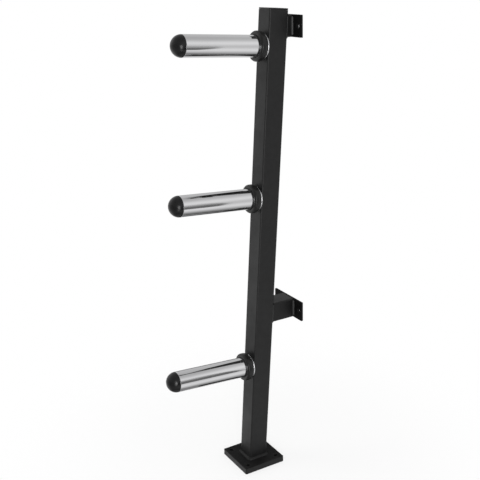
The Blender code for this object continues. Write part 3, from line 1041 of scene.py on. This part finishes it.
def makeCollar(peg, place):
    shape = collarShape
    bore, rim = pegShape["sleeveRadius"] + seam, shape["radius"]
    back = pegShape["flangeThickness"] + 2 * seam
    front = back + shape["length"]
    bigRound, smallRound = shape["backRound"], shape["frontRound"]
    lip, cut = shape["lip"], shape["boreChamfer"]
    # From the front face over its round, past the mould's parting line, to the back and the bore
    middle = back + shape["length"] * shape["grooveAt"]
    groove, half = shape["groove"], shape["groove"] * shape["grooveFloor"]
    profile = arcPoints(rim - smallRound, front - smallRound, smallRound, 90.0, 0.0,
                        shape["frontSteps"])
    profile += [(rim, middle + 2 * groove), (rim - groove, middle + half),
                (rim - groove, middle - half), (rim, middle - 2 * groove)]
    profile += arcPoints(rim - bigRound, back + bigRound, bigRound, 0.0, -90.0, shape["backSteps"])
    profile += [(bore + cut, back), (bore, back + cut)]
    profile += arcPoints(bore + lip, front - lip, lip, 180.0, 90.0, shape["lipSteps"])
    collar = toObject(peg + "PegCollar", turnedMesh(profile, pegShape["turnedSteps"], place))
    dress(collar, peg + "_peg_collar", rubber)


def makeEndCap(peg, place):
    shape = capShape
    radius = pegShape["sleeveRadius"]
    stem = radius - pegShape["sleeveWall"] - seam
    hollow = stem - shape["stemWall"]
    base = pegShape["sleeveLength"] + seam
    stemEnd, cut, halfRim = base - shape["stem"], shape["stemChamfer"], shape["rim"] / 2
    profile = arcPoints(0.0, base, radius, 90.0, shape["domeFrom"], shape["domeSteps"])
    profile[0] = (0.0, profile[0][1])
    profile += [(radius, base + halfRim), (radius - halfRim, base), (stem, base),
                (stem, stemEnd + cut), (stem - cut, stemEnd), (hollow, stemEnd)]
    profile += arcPoints(0.0, base, hollow, 0.0, 90.0, shape["hollowSteps"])
    profile[-1] = (0.0, profile[-1][1])
    cap = toObject(peg + "PegEndCap", turnedMesh(profile, pegShape["turnedSteps"], place,
                                                 closed=False))
    dress(cap, peg + "_peg_end_cap", plastic)


def makeWasher(peg, place):
    shape = boltShape
    front = -postShape["width"] - seam
    profile = chamferedRing(shape["washerRadius"], shape["threadRadius"] + shape["washerPlay"],
                            front - shape["washerThickness"], front, shape["washerChamfer"])
    washer = toObject(peg + "PegWasher", turnedMesh(profile, shape["turnedSteps"], place))
    dress(washer, peg + "_peg_washer", zinc)


def makeBolt(peg, place):
    shape = boltShape
    thread, tip, cut = shape["threadRadius"], shape["tip"], shape["tipChamfer"]
    seat = -postShape["width"] - 2 * seam - shape["washerThickness"]
    crown = seat - shape["headHeight"]
    head, headCut = shape["headRadius"], shape["headChamfer"]
    profile = [(0.0, tip), (thread - cut, tip), (thread, tip - cut)]
    # Thread-like rings over the part that sits in the boss
    z = tip - shape["plainTip"]
    while z > seam:
        profile += [(thread, z), (thread - shape["threadDepth"], z - shape["pitch"] / 2)]
        z -= shape["pitch"]
    profile += [(thread, z), (thread, seat), (head - headCut, seat), (head, seat - headCut),
                (head, seat - shape["headRim"])]
    dome = shape["headHeight"] - shape["headRim"]
    domeRadius = (head ** 2 + dome ** 2) / (2 * dome)
    sweep = math.degrees(math.asin(head / domeRadius))
    profile += arcPoints(0.0, crown + domeRadius, domeRadius, sweep - 90.0, -90.0,
                         shape["domeSteps"])[1:]
    profile[-1] = (0.0, profile[-1][1])
    bolt = toObject(peg + "PegBolt", turnedMesh(profile, shape["turnedSteps"], place, closed=False))
    # Hexagonal socket for the key
    low, deep = crown - shape["socketDepth"], crown + shape["socketDepth"]
    hexagon = turnedMesh([(0.0, low), (shape["socketRadius"], low), (shape["socketRadius"], deep),
                          (0.0, deep + shape["socketPoint"])], 6, place, closed=False)
    drill(bolt, [toObject(peg + "BoltSocket", hexagon)])
    dress(bolt, peg + "_peg_bolt", zinc)


def makePeg(peg, height):
    place = leanFrame @ Matrix.Translation((0.0, -postShape["width"] / 2, height)) @ outOfWall
    for make in (makeSleeve, makeFlange, makeBoss, makeCollar, makeEndCap, makeWasher, makeBolt):
        make(peg, place)
    print("peg: %s one built" % peg)


for peg, height in pegHeights.items():
    makePeg(peg, height)


# Studio

def faceTowards(piece, direction):
    # Turns over a flat piece that faces away from the direction
    if piece.data.polygons[0].normal.dot(Vector(direction)) < 0.0:
        piece.data.flip_normals()


floorLook = {
    "colour": (0.93, 0.93, 0.93),
    "roughness": 0.9,
    "height": -0.0003,
    "radius": 0.9,
    "rimSteps": 96,
    "solidTo": 0.10,  # full strength out to here, then it thins away into the white
    "goneAt": 0.95,  # share of the radius
    "strength": 0.24,
}


def makeFloor():
    look = floorLook
    radius, height = look["radius"], look["height"]
    floor = toObject("studioFloor", turnedMesh([(0.0, height), (radius, height)],
                                               look["rimSteps"], Matrix.Identity(4), closed=False))
    faceTowards(floor, (0.0, 0.0, 1.0))
    material, tree = startFinish("paleFloor")
    far = vectorMath(tree, "LENGTH", addNode(tree, "TexCoord").outputs["Object"])
    fade = mapRange(tree, far.outputs["Value"], (look["solidTo"], radius * look["goneAt"]),
                    (look["strength"], 0.0), interpolation_type="SMOOTHERSTEP")
    # Seen from underneath it isn't there
    fillShader(tree, {
        "Base Color": look["colour"],
        "Specular IOR Level": 0.0,
        "Roughness": look["roughness"],
        "Alpha": addMath(tree, "MULTIPLY", fade, frontOnly(tree)),
    })
    floor.data.materials.append(material)
    floor.visible_glossy = False


backdropLook = {
    "white": (1.0, 1.0, 1.0),
    "roomLight": 0.95,
    # What the bright metal mirrors: elevation in degrees, level
    "bands": ((-90, 0.56), (-75, 0.50), (-66, 0.08), (-57, 0.46), (-48, 0.62), (-38, 0.82),
              (-28, 0.84), (-14, 0.66), (-2, 0.58), (10, 0.70), (24, 0.88), (36, 0.76),
              (48, 0.58), (60, 0.46), (90, 0.46)),
    # Where the room is darker or brighter than its bands: direction, how near to it the change
    # starts and is complete (as cosines), and how much light is left
    "patches": (((0.26, -0.97, 0.0), 0.25, 0.95, 0.45),
                ((-0.85, -0.48, -0.22), 0.55, 0.95, 1.35),
                ((-0.82, 0.48, 0.32), 0.80, 0.98, 0.70)),
}


def makeWorld():
    look = backdropLook
    world = bpy.data.worlds.new("studio")
    scene.world = world
    world.use_nodes = True
    tree = world.node_tree
    tree.nodes.clear()
    towards = addNode(tree, "TexCoord").outputs["Generated"]
    parts = addNode(tree, "SeparateXYZ", {0: towards})
    elevation = addMath(tree, "ARCSINE", parts.outputs["Z"])
    share = addMath(tree, "MULTIPLY_ADD", elevation, 1.0 / math.pi, 0.5)
    ramp = addNode(tree, "ValToRGB", {"Fac": share})
    ramp.color_ramp.interpolation = "B_SPLINE"
    stops = ramp.color_ramp.elements
    while len(stops) > 1:
        stops.remove(stops[-1])
    for i, (degrees, level) in enumerate(look["bands"]):
        stop = stops[0] if i == 0 else stops.new((degrees + 90) / 180)
        stop.position = (degrees + 90) / 180
        stop.color = (level, level, level, 1.0)
    strength = 1.0
    for direction, start, full, left in look["patches"]:
        near = vectorMath(tree, "DOT_PRODUCT", towards, Vector(direction).normalized())
        patch = mapRange(tree, near.outputs["Value"], (start, full), (1.0, left))
        strength = addMath(tree, "MULTIPLY", strength, patch)
    plain = addNode(tree, "Background", {"Strength": look["roomLight"]})
    mirrored = addNode(tree, "Background", {"Color": ramp.outputs["Color"],
                                            "Strength": strength})
    seen = addNode(tree, "Background", {"Color": look["white"]})
    path = addNode(tree, "LightPath")
    forGloss = addNode(tree, "MixShader", {0: path.outputs["Is Glossy Ray"], 1: plain.outputs[0],
                                           2: mirrored.outputs[0]})
    direct = addMath(tree, "MAXIMUM", path.outputs["Is Camera Ray"],
                     path.outputs["Is Transmission Ray"])
    forCamera = addNode(tree, "MixShader", {0: direct, 1: forGloss.outputs[0],
                                            2: seen.outputs[0]})
    addNode(tree, "OutputWorld", {"Surface": forCamera.outputs[0]})


lamps = {
    # name: place, aimed at, size, watts, whether it shows as a highlight
    "frontSoftbox": ((-1.5, -2.3, 1.8), (0.0, 0.0, 0.5), (1.4, 1.8), 22.0, False),
    "sideSoftbox": ((2.0, -1.1, 0.85), (0.0, -0.1, 0.6), (0.7, 1.2), 20.0, True),
    "lowSoftbox": ((1.0, -0.75, 0.12), (0.0, -0.2, 0.7), (0.35, 0.2), 0.8, True),
}


def makeLamps():
    for name, (place, target, size, watts, shows) in lamps.items():
        data = bpy.data.lights.new(name, "AREA")
        data.shape = "RECTANGLE"
        data.size, data.size_y = size
        data.energy = watts
        lamp = addObject(name, data)
        lamp.location = place
        lamp.rotation_euler = (Vector(target) - Vector(place)).to_track_quat("-Z", "Y").to_euler()
        lamp.visible_camera = False
        lamp.visible_glossy = shows


flags = {
    # Dark sheets that only the gloss sees: painted dark reflections. Two stand round the foot, in
    # degrees from +Y towards +X: the right one is mirrored as the thin dark line near the pegs' ends,
    # and the left one darkens the top of the floor plate. Two small level ones stand in for shade
    # beside the post and widen the dark line that the post draws on the lower pegs. They show only
    # from below.
    "rightFlag": {"bearing": (62.6, 112.0), "distance": 1.7, "low": -0.05, "high": 1.25,
                  "shade": 0.17, "softSide": 0.03, "solidTo": 0.39},
    "leftFlag": {"bearing": (-115.0, -5.0), "distance": 0.35, "low": -0.02, "high": 0.38,
                 "shade": 0.01, "softSide": 0.2, "solidTo": 0.65},
    "middleFlag": {"postEdge": ((-0.125, 0.10), (-0.026, 0.10)),
                   "farEdge": ((-0.032, -0.107), (-0.001, -0.107)), "height": 0.87,
                   "shade": 0.01, "softSide": 0.3, "solidTo": 0.7},
    "bottomFlag": {"postEdge": ((-0.095, 0.08), (-0.026, 0.08)),
                   "farEdge": ((-0.016, -0.109), (-0.001, -0.109)), "height": 0.44,
                   "shade": 0.01, "softSide": 0.3, "solidTo": 0.7},
}

flagSteps = 24


def flagThreads(look):
    # Both ends of the sheet's threads, from its soft side across
    threads = []
    for i in range(flagSteps + 1):
        if "height" in look:
            ends = [(*Vector(edge[0]).lerp(Vector(edge[1]), i / flagSteps), look["height"])
                    for edge in (look["postEdge"], look["farEdge"])]
        else:
            start, stop = look["bearing"]
            bearing = math.radians(start + (stop - start) * i / flagSteps)
            x, y = look["distance"] * math.sin(bearing), look["distance"] * math.cos(bearing)
            ends = [(x, y, look["low"]), (x, y, look["high"])]
        threads.append(ends)
    return threads


def makeFlag(name, look):
    bm = bmesh.new()
    layer = bm.loops.layers.uv.new("UVMap")
    threads = [[bm.verts.new(end) for end in ends] for ends in flagThreads(look)]
    for i, (left, right) in enumerate(zip(threads, threads[1:])):
        face = bm.faces.new((left[0], right[0], right[1], left[1]))
        for loop, (across, up) in zip(face.loops, ((i, 0), (i + 1, 0), (i + 1, 1), (i, 1))):
            loop[layer].uv = (across / flagSteps, up)
    flag = toObject(name, bm)
    # The sheet's dark colour shows only in reflections: a painted dark reflection
    material, tree = startFinish(name + "Cloth")
    parts = addNode(tree, "SeparateXYZ", {0: addNode(tree, "TexCoord").outputs["UV"]})
    side = mapRange(tree, parts.outputs["X"], (0.0, look["softSide"]))
    top = mapRange(tree, parts.outputs["Y"], (look["solidTo"], 1.0), (1.0, 0.0))
    cover = addMath(tree, "MULTIPLY", side, top)
    if "height" in look:
        faceTowards(flag, (0.0, 0.0, -1.0))
        cover = addMath(tree, "MULTIPLY", cover, frontOnly(tree))
    fillShader(tree, {"Base Color": [look["shade"]] * 3, "Specular IOR Level": 0.0,
                      "Roughness": 1.0, "Alpha": cover})
    flag.data.materials.append(material)
    flag.visible_camera = False
    flag.visible_diffuse = False
    flag.visible_shadow = False


wallPatchLook = {
    "inset": 0.001,  # stays inside the plate's outline
    "behind": 0.0004,
    "colour": (0.55, 0.55, 0.55),
}


def makePatchFinish():
    # From behind it isn't there
    material, tree = startFinish("wallPatch")
    fillShader(tree, {"Base Color": wallPatchLook["colour"], "Specular IOR Level": 0.0,
                      "Roughness": 1.0, "Alpha": frontOnly(tree)})
    return material


def makeWallPatch(side, finish):
    # What shows through a wall plate's screw holes
    low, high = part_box(side + "_wall_plate")
    inset, y = wallPatchLook["inset"], high.y + wallPatchLook["behind"]
    left, right, bottom, top = low.x + inset, high.x - inset, low.z + inset, high.z - inset
    bm = bmesh.new()
    bm.faces.new([bm.verts.new((x, y, z)) for x, z in ((left, bottom), (right, bottom),
                                                       (right, top), (left, top))])
    patch = toObject(side + "WallPatch", bm)
    faceTowards(patch, (0.0, -1.0, 0.0))
    patch.data.materials.append(finish)
    patch.visible_shadow = False
    patch.visible_diffuse = False
    patch.visible_glossy = False


makeFloor()
makeWorld()
makeLamps()
for name, look in flags.items():
    makeFlag(name, look)
patchFinish = makePatchFinish()
for side in ("upper", "lower"):
    makeWallPatch(side, patchFinish)
print("studio: floor, backdrop, lamps, flags and wall patches set")
